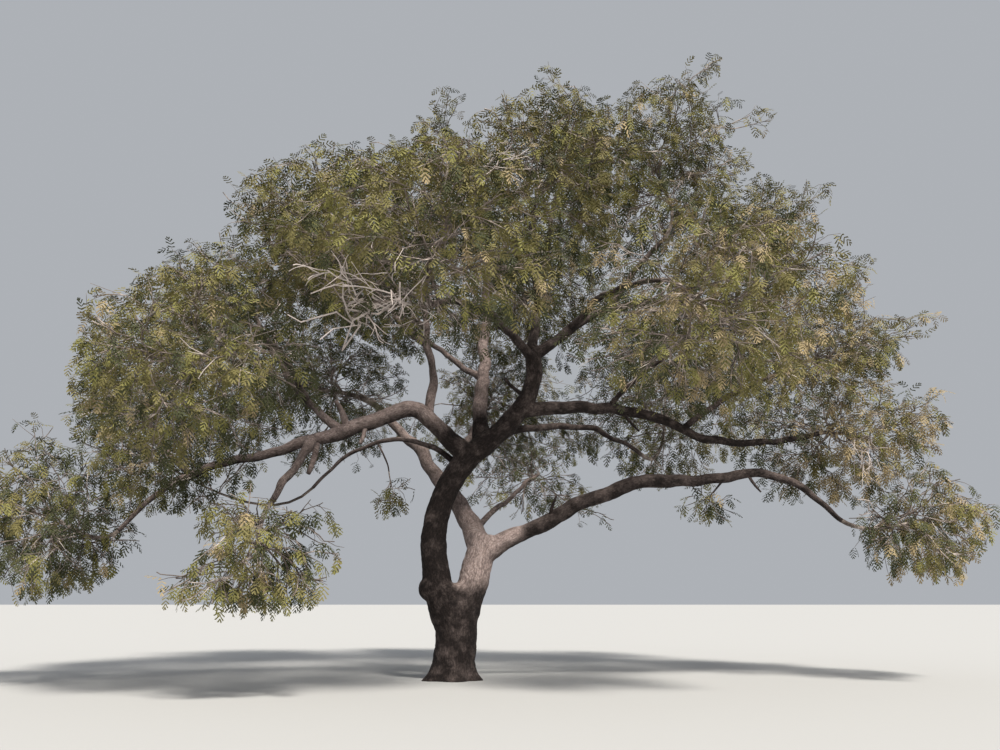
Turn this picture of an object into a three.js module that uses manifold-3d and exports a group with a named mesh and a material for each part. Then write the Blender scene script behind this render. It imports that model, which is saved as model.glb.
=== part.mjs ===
// An African locust bean tree: a wide, old savanna tree with a short stout trunk that forks low
// into two stems, arching boughs, and a domed crown of feathery foliage that weeps at its edges.
// Millimetres, +Z up, +X to the right and +Y away in the usual view. The origin is at the middle
// of the flat cut at ground level.
import * as THREE from 'three';
import { mergeVertices } from 'three/addons/utils/BufferGeometryUtils.js';
import Module from 'manifold-3d';

const wasm = await Module();
wasm.setup();

// Driving dimensions.
const FORK_HEIGHT = 1950; // the crotch where the trunk parts into its two stems
const TRUNK_DEPTH = 0.9; // front to back, as a share of side to side
const TRUNK_LEAN = 25; // how far right of the origin its axis stands
const TRUNK_BOW = 90; // how much further right its middle stands than its foot
const ROOT_RISE = 560; // height over which the root ridges die away
const ROOT_LOBES = 5; // root ridges round the foot
const ROOT_RIDGE = 0.13; // how far they stand out at the ground, as a share of the barrel's radius
const LEAF_LENGTH = 1800; // one blade stands for a whole spray of feathery leaves
const LEAF_WIDTH_SHARE = 0.46;
const LEAF_THICKNESS = 30;
const LEAF_WAIST = 0.42; // how far along its length a blade is widest
const LEAF_ROLL = 1.0; // furthest that a blade turns about its own length, in radians
const LEAF_TURN = 0.75; // least that a side leaf turns from its twig, in radians
const LEAF_DROOP = 0.28;
const LEAF_SPACING = 0.17; // along the twig, as a share of its length
const LEAF_SIZES = [1, 0.8, 0.65, 0.5]; // tried in turn until one fits
const LEAVES_PER_TWIG = 4; // on every other twig, and one fewer on the rest
const TWIGS_PER_MASS = 5;
const TWIG_TIP_RADIUS = 12;
const TWIG_ARCH = 0.16;
const STEM_ARCH = 0.4;
const SEED = 104729; // times each mass's place in the list
const FAN_START = 10; // degrees from the way that a mass faces to its first twig
const FAN_SWEEP = 112; // and on to its last
const TUFT_RADIUS = 420; // room round a tuft's own twig
const CLEARANCE = 0.3; // between a limb and what carries it
const LEAF_CLEARANCE = 90; // from a leaf or twig to any other limb
const CELL_MARGIN = 25; // from a leaf or twig to its neighbour's space

const CROWN_HEART = new THREE.Vector3(500, 0, 5200); // foliage faces away from this point
const UP = new THREE.Vector3(0, 0, 1);
const GOLDEN_ANGLE = Math.PI * (3 - Math.sqrt(5));

const BARK = new THREE.MeshStandardMaterial({ color: 0x6a5a52, roughness: 0.92, metalness: 0 });
const PALE_BARK = new THREE.MeshStandardMaterial({ color: 0x8a7a70, roughness: 0.9, metalness: 0 });
const FOLIAGE = new THREE.MeshStandardMaterial({ color: 0x5f6330, roughness: 0.75, metalness: 0 });

// Each limb leaves its parent at a share of the parent's length and runs to its tip. bow moves
// the middle off the straight line, and wave bends it one way in the first half and the other
// way in the second: a plain number is upwards. radius is at the base and at the tip, and flare
// widens the base.
const STEMS = {
  left_leader: {
    start: [60, 0, 950],
    tip: [400, -20, 4560],
    bow: [-600, 0, 0],
    wave: [40, 0, 0],
    radius: [270, 240],
    flare: 70,
    flareReach: 0.8,
  },
  right_stem: {
    start: [90, 0, 850], tip: [670, 150, 2900], bow: [50, 0, 0], radius: [330, 285], flare: 0,
  },
};
const BOUGHS = {
  main_leader: {
    on: ['left_leader', 1], tip: [1670, 0, 6800], bow: [500, 0, 0], radius: [240, 165], flare: 0,
  },
  left_bough: {
    on: ['left_leader', 0.96], tip: [-2350, -350, 4900], bow: 740, wave: 150, radius: [195, 150],
  },
  left_bough_outer: {
    on: ['left_bough', 1], tip: [-6550, -900, 2900], bow: 450, wave: -150, radius: [125, 45],
  },
  right_low_bough: {
    on: ['right_stem', 0.8], tip: [3900, -150, 4000], bow: 60, radius: [172, 148], flare: 95,
  },
  right_low_bough_outer: {
    on: ['right_low_bough', 1], tip: [8000, -250, 3150], bow: 480, wave: -200, radius: [148, 48], flare: 0,
  },
  back_left_bough: {
    on: ['right_stem', 0.85], tip: [-1900, 3200, 6100], bow: [250, 0, 0], radius: [270, 105], flare: 20,
  },
  centre_riser: {
    on: ['main_leader', 0.08], tip: [700, 1800, 9000], bow: [0, 200, 0], radius: [170, 85],
  },
  right_mid_bough: {
    on: ['main_leader', 0.5], tip: [7750, 0, 5000], bow: -50, wave: 290, radius: [142, 52],
  },
  right_back_bough: { on: ['main_leader', 0.2], tip: [4300, 2500, 4950], bow: 450, radius: [90, 50] },
  upper_right_bough: { on: ['main_leader', 0.96], tip: [5300, 200, 7950], bow: 450, radius: [115, 55] },
  top_bough: { on: ['main_leader', 1], tip: [2150, 500, 9900], bow: [0, 250, 0], radius: [105, 55] },
  front_bough: { on: ['main_leader', 0.92], tip: [-250, -3600, 6750], bow: 480, radius: [95, 55] },
  thin_left_bough: {
    on: ['left_leader', 0.9], tip: [-3000, 450, 3900], bow: [0, 330, 900], radius: [62, 32],
  },
  left_riser: { on: ['left_bough', 0.36], tip: [-900, 300, 8600], bow: [150, 0, 0], radius: [98, 55] },
  left_outer_riser: {
    on: ['left_bough', 0.97], tip: [-4200, -300, 7400], bow: [-150, 0, -150], radius: [90, 48],
  },
  left_outer_bough: {
    on: ['left_bough_outer', 0.62], tip: [-6300, -600, 5300], bow: [-100, 0, -100], radius: [60, 42],
  },
  droop_bough: {
    on: ['left_bough_outer', 0.12], tip: [-3100, -2900, 3250], bow: [0, -200, -100], radius: [98, 58],
  },
  left_front_bough: {
    on: ['left_outer_riser', 0.35], tip: [-3600, -2900, 6500], bow: 200, radius: [68, 45],
  },
  left_front_upper_bough: {
    on: ['left_riser', 0.6], tip: [-1800, -1400, 8600], bow: -80, radius: [60, 42],
  },
  left_upper_bough: {
    on: ['left_riser', 0.5], tip: [-2300, 500, 9200], bow: [-150, 0, -150], radius: [68, 46],
  },
  back_left_upper_bough: {
    on: ['centre_riser', 0.4], tip: [-1500, 2900, 8500], bow: -100, radius: [76, 48],
  },
  back_mid_bough: {
    on: ['back_left_bough', 0.35], tip: [500, 4900, 6200], bow: 300, radius: [110, 58],
  },
  back_low_bough: { on: ['back_left_bough', 0.1], tip: [1900, 3100, 4500], bow: 100, radius: [66, 40] },
  top_right_bough: {
    on: ['upper_right_bough', 0.5], tip: [4700, 300, 9500], bow: [-100, 0, 0], radius: [78, 48],
  },
  right_front_bough: {
    on: ['upper_right_bough', 0.25], tip: [4000, -3300, 7300], bow: 300, radius: [78, 48],
  },
  right_rise_bough: {
    on: ['right_mid_bough', 0.55], tip: [7500, 100, 6500], bow: 150, radius: [66, 42],
  },
  right_inner_bough: {
    on: ['right_mid_bough', 0.3], tip: [4500, -900, 6500], bow: 60, radius: [58, 40],
  },
  front_upper_bough: { on: ['top_bough', 0.35], tip: [1700, -1800, 8900], bow: 100, radius: [66, 44] },
  right_under_bough: {
    on: ['right_low_bough_outer', 0.4], tip: [5500, 220, 3780], bow: [0, 60, 0], radius: [26, 18],
  },
  sprig_bough: {
    on: ['thin_left_bough', 0.56], tip: [-1380, 420, 4250], bow: [60, 0, 0], radius: [22, 15],
  },
};

// Each mass of foliage grows from the tip of one bough and fills the reach round its centre.
// tufts are sprays that stand out of the crown's outline, given by their tips.
const MASSES = {
  left_low_mass: {
    on: 'left_bough_outer', centre: [-7800, -900, 3150], reach: [1950, 2600, 1650],
    tufts: [[-8500, -900, 5000]],
  },
  left_outer_mass: { on: 'left_outer_bough', centre: [-6550, 200, 6150], reach: [1850, 3000, 1800] },
  left_shoulder_mass: { on: 'left_outer_riser', centre: [-5200, 400, 7850], reach: [2200, 3000, 1950] },
  left_upper_mass: {
    on: 'left_upper_bough', centre: [-2900, 700, 9300], reach: [1900, 2800, 1750],
    tufts: [[-5500, 0, 10650], [-2750, 0, 12000]],
  },
  left_front_mass: { on: 'left_front_bough', centre: [-4000, -4400, 5500], reach: [2300, 2900, 1850] },
  left_front_upper_mass: {
    on: 'left_front_upper_bough', centre: [-2000, -3100, 8100], reach: [2500, 2700, 1900],
  },
  left_back_mass: { on: 'back_left_bough', centre: [-3900, 4300, 6900], reach: [3600, 3300, 2400] },
  back_left_upper_mass: {
    on: 'back_left_upper_bough', centre: [-2500, 3800, 9200], reach: [2900, 2900, 2250],
  },
  left_under_mass: {
    on: 'thin_left_bough', centre: [-5950, -800, 4350], reach: [2550, 2300, 1200], leaf: 0.75,
  },
  droop_mass: { on: 'droop_bough', centre: [-3050, -3950, 2300], reach: [1750, 1900, 1150] },
  front_mass: { on: 'front_bough', centre: [0, -5100, 7300], reach: [3000, 2800, 1850] },
  front_upper_mass: { on: 'front_upper_bough', centre: [1700, -2900, 9150], reach: [2700, 2900, 1850] },
  top_left_mass: {
    on: 'left_riser', centre: [-700, 900, 10500], reach: [2100, 2900, 1800], tufts: [[-200, 0, 12700]],
  },
  top_mid_mass: {
    on: 'top_bough', centre: [2650, 700, 11350], reach: [2500, 3000, 1950], tufts: [[2250, 0, 13350]],
  },
  top_right_mass: {
    on: 'top_right_bough', centre: [4600, 500, 11200], reach: [2400, 2900, 2150],
    tufts: [[5750, 0, 13750], [6900, 0, 12250]],
  },
  back_upper_mass: { on: 'centre_riser', centre: [1700, 4300, 9300], reach: [3700, 3100, 2600] },
  back_mass: { on: 'back_mid_bough', centre: [700, 6000, 6900], reach: [3700, 3000, 2600] },
  back_low_mass: {
    on: 'back_low_bough', centre: [1700, 3800, 4500], reach: [2400, 1500, 1100],
    tufts: [[3400, 2000, 3400]], leaf: 0.8,
  },
  right_shoulder_mass: {
    on: 'upper_right_bough', centre: [6400, 700, 9200], reach: [1900, 3000, 2050],
    tufts: [[8200, 0, 10500]],
  },
  right_upper_outer_mass: {
    on: 'right_rise_bough', centre: [8000, 500, 6750], reach: [1900, 3000, 1750],
    tufts: [[8900, 0, 8750], [10250, 0, 7550]],
  },
  right_outer_mass: { on: 'right_mid_bough', centre: [8200, 500, 5050], reach: [2450, 2800, 1700] },
  right_low_mass: {
    on: 'right_low_bough_outer', centre: [9500, -400, 3150], reach: [1600, 2500, 1350],
  },
  right_inner_mass: { on: 'right_inner_bough', centre: [5200, -1200, 6900], reach: [2600, 2600, 2100] },
  right_front_mass: { on: 'right_front_bough', centre: [4300, -4600, 6400], reach: [2900, 2900, 1950] },
  right_back_mass: { on: 'right_back_bough', centre: [5300, 4500, 6700], reach: [3500, 3300, 2700] },
  right_under_mass: {
    on: 'right_under_bough', centre: [5450, 350, 3600], reach: [1050, 800, 520], twigs: 2, leaf: 0.5,
  },
  sprig_mass: {
    on: 'sprig_bough', centre: [-1250, 350, 3750], reach: [620, 500, 620], twigs: 2, leaf: 0.42,
  },
};

const vec = (p) => new THREE.Vector3(...p);
const bend = (p = 0) => (Array.isArray(p) ? vec(p) : new THREE.Vector3(0, 0, p));

// A seeded source of even random numbers from 0 to 1.
function randomSource(seed) {
  let state = seed >>> 0;
  return () => {
    state = (Math.imul(state, 1664525) + 1013904223) >>> 0;
    return state / 4294967296;
  };
}

class LimbCurve extends THREE.Curve {
  constructor(start, tip, bow, wave) {
    super();
    Object.assign(this, { start, tip, bow: bend(bow), wave: bend(wave) });
  }

  getPoint(t, target = new THREE.Vector3()) {
    return target
      .lerpVectors(this.start, this.tip, t)
      .addScaledVector(this.bow, 4 * t * (1 - t))
      .addScaledVector(this.wave, Math.sin(2 * Math.PI * t));
  }
}

// A closed tapering tube along a curve: a cylinder whose rings are carried onto the curve. Spare
// room swells it on every side, its two ends too.
function tube(curve, radiusAt, sides, rings, spare = 0) {
  const geometry = new THREE.CylinderGeometry(1, 1, 1, sides, rings);
  const frames = curve.computeFrenetFrames(rings);
  const position = geometry.getAttribute('position');
  const point = new THREE.Vector3();
  for (let i = 0; i < position.count; i++) {
    const ring = Math.round((position.getY(i) + 0.5) * rings);
    const t = ring / rings;
    const r = radiusAt(t) + spare;
    curve.getPointAt(t, point);
    if (ring === 0) point.addScaledVector(frames.tangents[ring], -spare);
    if (ring === rings) point.addScaledVector(frames.tangents[ring], spare);
    point.addScaledVector(frames.normals[ring], position.getX(i) * r);
    point.addScaledVector(frames.binormals[ring], -position.getZ(i) * r);
    position.setXYZ(i, point.x, point.y, point.z);
  }
  return geometry;
}

function solidFrom(geometry) {
  const bare = geometry.index ? geometry.toNonIndexed() : geometry.clone();
  bare.deleteAttribute('normal');
  bare.deleteAttribute('uv');
  const merged = mergeVertices(bare, 1e-3);
  const made = new wasm.Manifold(
    new wasm.Mesh({
      numProp: 3,
      vertProperties: merged.attributes.position.array,
      triVerts: new Uint32Array(merged.index.array),
    }),
  );
  if (made.volume() < 0) throw new Error('a piece is inside out');
  return made;
}

function largestBody(solid) {
  return solid.decompose().reduce((a, b) => (a.volume() > b.volume() ? a : b));
}

function meshOf(solid, name, material) {
  const { numProp, vertProperties, triVerts } = solid.getMesh();
  const positions = new Float32Array((vertProperties.length / numProp) * 3);
  for (let i = 0; i < positions.length / 3; i++) {
    positions.set(vertProperties.subarray(i * numProp, i * numProp + 3), i * 3);
  }
  const geometry = new THREE.BufferGeometry();
  geometry.setAttribute('position', new THREE.BufferAttribute(positions, 3));
  geometry.setIndex(new THREE.BufferAttribute(triVerts, 1));
  geometry.computeVertexNormals();
  const mesh = new THREE.Mesh(geometry, material);
  mesh.name = name;
  return mesh;
}

// The barrel of the trunk in profile, from the axis at the ground to the axis at the fork.
const BARREL = [
  [0, 0], [590, 0], [490, 160], [430, 400], [410, 720], [435, 1150], [480, 1500], [440, 1760], [290, 1910],
  [0, FORK_HEIGHT],
];
// An old wound healed over, which stands out as a lump just below the fork.
const KNOT = { centre: [-500, -30, 1830], radius: 170 };

// The trunk: the barrel with its root ridges, the lower ends of both stems and the knot, cut
// flat at the ground and at the fork.
function trunkSolid() {
  const geometry = new THREE.LatheGeometry(BARREL.map(([r, z]) => new THREE.Vector2(r, z)), 15);
  const position = geometry.getAttribute('position');
  for (let i = 0; i < position.count; i++) {
    const [x, z, y] = [position.getX(i), position.getY(i), -position.getZ(i)];
    const foot = Math.max(0, 1 - z / ROOT_RISE) ** 2;
    const ridge = 1 + ROOT_RIDGE * foot * Math.cos(ROOT_LOBES * Math.atan2(y, x) + 0.6);
    const axis = TRUNK_LEAN + TRUNK_BOW * Math.sin((Math.PI * z) / FORK_HEIGHT);
    position.setXYZ(i, axis + x * ridge, y * ridge * TRUNK_DEPTH, z);
  }
  let trunk = solidFrom(geometry);
  for (const name of Object.keys(STEMS)) trunk = trunk.add(limbs[name].body);
  trunk = trunk.add(solidFrom(new THREE.SphereGeometry(KNOT.radius, 7, 5).translate(...KNOT.centre)));
  return trunk.trimByPlane([0, 0, -1], -FORK_HEIGHT).trimByPlane([0, 0, 1], 0);
}

// The boughs and stems, each cut clear of what it grows from.
const limbs = {};
function addLimb(name, spec) {
  const start = spec.start ? vec(spec.start) : limbs[spec.on[0]].curve.getPointAt(spec.on[1]);
  const curve = new LimbCurve(start, vec(spec.tip), spec.bow, spec.wave);
  const [base, end] = spec.radius;
  const { flare = 0.22 * base, flareReach = 0.3 } = spec;
  const flareAt = (t) => flare * Math.max(0, 1 - t / flareReach) ** 2;
  const radiusAt = (t) => THREE.MathUtils.lerp(base, end, t) + flareAt(t);
  const sides = base > 140 ? 10 : base > 70 ? 7 : 5;
  const rings = base > 140 ? 6 : base > 70 ? 4 : 3;
  const body = solidFrom(tube(curve, radiusAt, sides, rings));
  const clear = solidFrom(tube(curve, radiusAt, sides, rings, 1.6 * CLEARANCE));
  limbs[name] = { curve, radiusAt, body, clear, name };
}

function cutLimbs() {
  const ground = FORK_HEIGHT + CLEARANCE;
  const names = Object.keys(limbs);
  names.forEach((name, i) => {
    let solid = limbs[name].body;
    if (name in STEMS) solid = solid.trimByPlane([0, 0, 1], ground);
    for (const earlier of names.slice(0, i)) solid = solid.subtract(limbs[earlier].clear);
    limbs[name].solid = largestBody(solid);
  });
}

// The space that a mass keeps to: its own ellipsoid and a narrow sleeve round each tuft, on its
// side of the planes that part it from its neighbours.
function spaceOf(name) {
  const { centre, reach, tufts = [] } = MASSES[name];
  const middle = vec(centre);
  const sleeves = tufts.map((tip) => new THREE.Line3(middle, vec(tip)));
  const nearest = new THREE.Vector3();
  const inSleeve = (point) =>
    sleeves.some((s) => s.closestPointToPoint(point, true, nearest).distanceTo(point) <= TUFT_RADIUS);
  const size = (m) => (m.reach[0] + m.reach[1] + m.reach[2]) / 3;
  const planes = Object.entries(MASSES)
    .filter(([other]) => other !== name)
    .map(([, other]) => {
      const away = vec(other.centre).sub(middle);
      const gap = away.length();
      const part = 0.5 + (size(MASSES[name]) ** 2 - size(other) ** 2) / (2 * gap * gap);
      return { normal: away.normalize(), limit: gap * part - CELL_MARGIN };
    });
  const share = (v) => Math.hypot(v.x / reach[0], v.y / reach[1], v.z / reach[2]);
  return {
    holds(point) {
      const offset = point.clone().sub(middle);
      const within = share(offset) <= 1 || inSleeve(point);
      return within && planes.every(({ normal, limit }) => offset.dot(normal) <= limit);
    },
    distanceAlong(direction) {
      const ahead = planes.filter(({ normal }) => direction.dot(normal) > 0);
      const walls = ahead.map(({ normal, limit }) => limit / direction.dot(normal));
      return Math.min(1 / share(direction), ...walls);
    },
  };
}

// Every limb and every mass's stem, as short capsules that leaves and twigs keep clear of.
const obstacles = [];
function addObstacle(owner, curve, radiusAt, pieces = 12) {
  for (let i = 0; i < pieces; i++) {
    obstacles.push({
      owner,
      line: new THREE.Line3(curve.getPointAt(i / pieces), curve.getPointAt((i + 1) / pieces)),
      radius: radiusAt(i / pieces),
    });
  }
}

function isClear(points, owner) {
  const nearest = new THREE.Vector3();
  return points.every((point) =>
    obstacles.every((o) => {
      if (o.owner === owner) return true;
      o.line.closestPointToPoint(point, true, nearest);
      return nearest.distanceTo(point) > o.radius + LEAF_CLEARANCE;
    }),
  );
}

// One leaf blade: an octahedron drawn out from its root to its tip, widest before the middle.
function leafGeometry({ root, direction, across, length, width }) {
  const geometry = new THREE.OctahedronGeometry(1);
  const position = geometry.getAttribute('position');
  const normal = new THREE.Vector3().crossVectors(direction, across);
  for (let i = 0; i < position.count; i++) {
    const [x, y, z] = [position.getX(i), position.getY(i), position.getZ(i)];
    const along = Math.abs(x) > 0.5 ? (x + 1) / 2 : LEAF_WAIST;
    const point = root
      .clone()
      .addScaledVector(direction, along * length)
      .addScaledVector(across, (y * width) / 2)
      .addScaledVector(normal, (z * LEAF_THICKNESS) / 2);
    position.setXYZ(i, point.x, point.y, point.z);
  }
  return geometry;
}

// Points spread over a blade, from its middle line to its edges, to test where it may go.
function leafPoints({ root, direction, across, length, width }) {
  const points = [];
  for (const along of [0.2, 0.3, LEAF_WAIST, 0.56, 0.7, 0.85, 1]) {
    const side = along < LEAF_WAIST ? along / LEAF_WAIST : (1 - along) / (1 - LEAF_WAIST);
    for (const edge of [-side, 0, side]) {
      const point = root.clone().addScaledVector(direction, along * length);
      points.push(point.addScaledVector(across, (edge * width) / 2));
    }
  }
  return points;
}

// The stem of each mass, from just clear of its bough's tip to the mass's centre.
const stems = {};
function addStem(name, index) {
  const mass = MASSES[name];
  const bough = limbs[mass.on];
  const heading = bough.curve.getTangentAt(1);
  const start = bough.curve.getPointAt(1).addScaledVector(heading, CLEARANCE);
  const centre = vec(mass.centre);
  const middle = start.clone().addScaledVector(heading, STEM_ARCH * start.distanceTo(centre));
  const curve = new THREE.QuadraticBezierCurve3(start, middle, centre);
  const tipRadius = bough.radiusAt(1);
  const radiusAt = (t) => tipRadius * THREE.MathUtils.lerp(0.95, 0.5, t);
  stems[name] = { curve, radiusAt, random: randomSource(SEED * (index + 1)) };
  addObstacle(name, curve, radiusAt, 6);
}

// The growing rule: twigs leave the stem in turn and fan out by the golden angle round the way
// the mass faces. Each carries a leaf at its end and leaves along its sides. A twig or leaf that
// would leave the space, come near a limb or cross another leaf is drawn smaller or left out.
function growMass(name) {
  const mass = MASSES[name];
  const space = spaceOf(name);
  const { curve: stem, radiusAt: stemRadius, random } = stems[name];
  const centre = vec(mass.centre);
  const facing = centre.clone().sub(CROWN_HEART).normalize();
  const sideways = new THREE.Vector3().crossVectors(UP, facing).normalize();
  const upright = new THREE.Vector3().crossVectors(facing, sideways);
  const twigCount = mass.twigs ?? TWIGS_PER_MASS;
  const leafLength = LEAF_LENGTH * (mass.leaf ?? 1);
  const fits = (points) => points.every((p) => space.holds(p)) && isClear(points, name);

  const growTwig = (target, share) => {
    const start = stem.getPointAt(share);
    const middle = start.clone().lerp(target, 0.5);
    middle.addScaledVector(stem.getTangentAt(share), TWIG_ARCH * start.distanceTo(target));
    const curve = new THREE.QuadraticBezierCurve3(start, middle, target);
    if (!fits([0.4, 0.55, 0.7, 0.85, 1].map((t) => curve.getPointAt(t)))) return [];
    const twigRadius = (t) => THREE.MathUtils.lerp(0.55 * stemRadius(share), TWIG_TIP_RADIUS, t);
    return [{ curve, solid: solidFrom(tube(curve, twigRadius, 3, 2)) }];
  };

  const twigs = [];
  for (let i = 0; i < twigCount; i++) {
    const polar = THREE.MathUtils.degToRad(FAN_START + (FAN_SWEEP * (i + 0.5)) / twigCount);
    const azimuth = i * GOLDEN_ANGLE + 0.6 * random();
    const direction = facing
      .clone()
      .multiplyScalar(Math.cos(polar))
      .addScaledVector(sideways, Math.sin(polar) * Math.cos(azimuth))
      .addScaledVector(upright, Math.sin(polar) * Math.sin(azimuth));
    const room = space.distanceAlong(direction) - 0.8 * leafLength;
    const target = centre.clone().addScaledVector(direction, Math.max(room, 0.35 * leafLength));
    twigs.push(...growTwig(target, 0.97 - (0.42 * i) / twigCount));
  }
  for (const tip of mass.tufts ?? []) {
    const shortOfTip = 1 - (0.5 * leafLength) / vec(tip).distanceTo(centre);
    twigs.push(...growTwig(centre.clone().lerp(vec(tip), shortOfTip), 0.99));
  }

  const leaves = [];
  const growLeaf = (twig, k) => {
    const t = k === 0 ? 0.985 : 1 - LEAF_SPACING * k;
    const heading = twig.curve.getTangentAt(t);
    const side = new THREE.Vector3().crossVectors(heading, UP).normalize();
    const turn = k === 0 ? 0 : (k % 2 ? 1 : -1) * (LEAF_TURN + 0.35 * random());
    const direction = heading
      .clone()
      .multiplyScalar(Math.cos(turn))
      .addScaledVector(side, Math.sin(turn))
      .addScaledVector(UP, 0.3 * (random() - 0.5) - LEAF_DROOP)
      .normalize();
    const across = new THREE.Vector3().crossVectors(UP, direction);
    if (across.lengthSq() < 0.04) across.copy(sideways);
    across.normalize().applyAxisAngle(direction, LEAF_ROLL * (2 * random() - 1));
    const root = twig.curve.getPointAt(t);
    for (const size of LEAF_SIZES) {
      const length = leafLength * size;
      const leaf = { root, direction, across, length, width: length * LEAF_WIDTH_SHARE };
      if (!fits(leafPoints(leaf))) continue;
      const solid = solidFrom(leafGeometry(leaf));
      const others = [...twigs.filter((other) => other !== twig), ...leaves];
      if (others.some((other) => !other.solid.intersect(solid).isEmpty())) continue;
      leaves.push({ solid });
      return;
    }
  };
  for (let k = 0; k < LEAVES_PER_TWIG; k++) {
    twigs.filter((twig, i) => k < LEAVES_PER_TWIG - (i % 2)).forEach((twig) => growLeaf(twig, k));
  }

  let solid = solidFrom(tube(stem, stemRadius, 3, 3));
  for (const piece of [...twigs, ...leaves]) solid = solid.add(piece.solid);
  return largestBody(solid);
}

const tree = new THREE.Group();
for (const [name, spec] of Object.entries({ ...STEMS, ...BOUGHS })) addLimb(name, spec);
cutLimbs();
tree.add(meshOf(trunkSolid(), 'trunk', BARK));
for (const { name, solid, curve, radiusAt } of Object.values(limbs)) {
  tree.add(meshOf(solid, name, radiusAt(0.5) > 100 ? BARK : PALE_BARK));
  addObstacle(name, curve, radiusAt);
}
Object.keys(MASSES).forEach(addStem);
for (const name of Object.keys(MASSES)) tree.add(meshOf(growMass(name), name, FOLIAGE));

export default tree;
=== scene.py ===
import math

import bmesh
import bpy
import numpy as np
from mathutils import Matrix, Vector, kdtree, noise


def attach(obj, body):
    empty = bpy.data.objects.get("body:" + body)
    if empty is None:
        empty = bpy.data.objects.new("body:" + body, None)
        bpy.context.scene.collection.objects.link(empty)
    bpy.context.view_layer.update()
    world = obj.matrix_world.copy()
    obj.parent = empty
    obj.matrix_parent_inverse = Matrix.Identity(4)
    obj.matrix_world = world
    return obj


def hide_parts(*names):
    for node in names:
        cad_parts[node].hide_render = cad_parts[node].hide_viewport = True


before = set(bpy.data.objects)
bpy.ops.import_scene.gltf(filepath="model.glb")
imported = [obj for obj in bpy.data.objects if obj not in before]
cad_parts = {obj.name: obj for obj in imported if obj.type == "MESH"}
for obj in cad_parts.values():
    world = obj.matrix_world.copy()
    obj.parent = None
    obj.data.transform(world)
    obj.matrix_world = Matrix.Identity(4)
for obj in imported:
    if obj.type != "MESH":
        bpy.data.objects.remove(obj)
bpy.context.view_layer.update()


# Camera, light and floor
# A standing person's view of the whole tree, on a plain pale floor under a broad soft key
# light from high on the right of the camera, with pale light from all round.
LENS, SENSOR_WIDTH = 35.3, 36  # millimetres, 54 degrees across
VIEWPOINT, PITCH = (1.0, -20.5, 1.5), 13.1  # metres, at a standing person's eye height, and degrees up
camera_data = bpy.data.cameras.new("camera")
camera_data.lens, camera_data.sensor_width = LENS, SENSOR_WIDTH
camera = bpy.data.objects.new("camera", camera_data)
camera.location = VIEWPOINT
camera.rotation_euler = (math.radians(90 + PITCH), 0, 0)
bpy.context.scene.collection.objects.link(camera)
bpy.context.scene.camera = camera

SKY_COLOUR, SKY_STRENGTH = (0.84, 0.88, 0.94), 0.50
world = bpy.data.worlds.new("studio")
world.use_nodes = True
background = world.node_tree.nodes["Background"]
background.inputs["Color"].default_value = (*SKY_COLOUR, 1)
background.inputs["Strength"].default_value = SKY_STRENGTH
bpy.context.scene.world = world
bpy.context.scene.view_settings.view_transform = "Standard"

KEY_STRENGTH, KEY_SOFTNESS, KEY_COLOUR = 5.4, 10, (1.0, 0.95, 0.86)  # softness in degrees
KEY_WAY = (-0.32, 0.62, -0.85)
key_data = bpy.data.lights.new("key", "SUN")
key_data.energy, key_data.color = KEY_STRENGTH, KEY_COLOUR
key_data.angle = math.radians(KEY_SOFTNESS)
key = bpy.data.objects.new("key", key_data)
key.rotation_euler = Vector(KEY_WAY).to_track_quat("-Z", "Y").to_euler()
bpy.context.scene.collection.objects.link(key)


def plain_material(name, colour, roughness):
    """A material of one plain colour."""
    material = bpy.data.materials.new(name)
    material.use_nodes = True
    shader = material.node_tree.nodes["Principled BSDF"]
    shader.inputs["Base Color"].default_value = (*colour, 1)
    shader.inputs["Roughness"].default_value = roughness
    return material


def new_piece(name, mesh, material=None):
    """An object at the origin that shows a mesh."""
    piece = bpy.data.objects.new(name, mesh)
    bpy.context.scene.collection.objects.link(piece)
    if material:
        mesh.materials.clear()
        mesh.materials.append(material)
    return piece


def mesh_of(name, points, faces=(), edges=()):
    """A mesh of the points, with its faces or edges."""
    mesh = bpy.data.meshes.new(name)
    mesh.from_pydata(np.asarray(points).tolist(), list(edges), list(faces))
    mesh.update()
    return mesh


FLOOR_REACH, FLOOR_SIDES, FLOOR_COLOUR = 1500, 72, (0.47, 0.47, 0.47)
floor_turns = np.arange(FLOOR_SIDES) * 2 * np.pi / FLOOR_SIDES
floor_rim = FLOOR_REACH * np.stack([np.cos(floor_turns), np.sin(floor_turns), 0 * floor_turns], axis=1)
floor = new_piece("floor", mesh_of("floor", floor_rim, [tuple(range(FLOOR_SIDES))]))
floor.data.materials.append(plain_material("pale_floor", FLOOR_COLOUR, 0.9))


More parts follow.
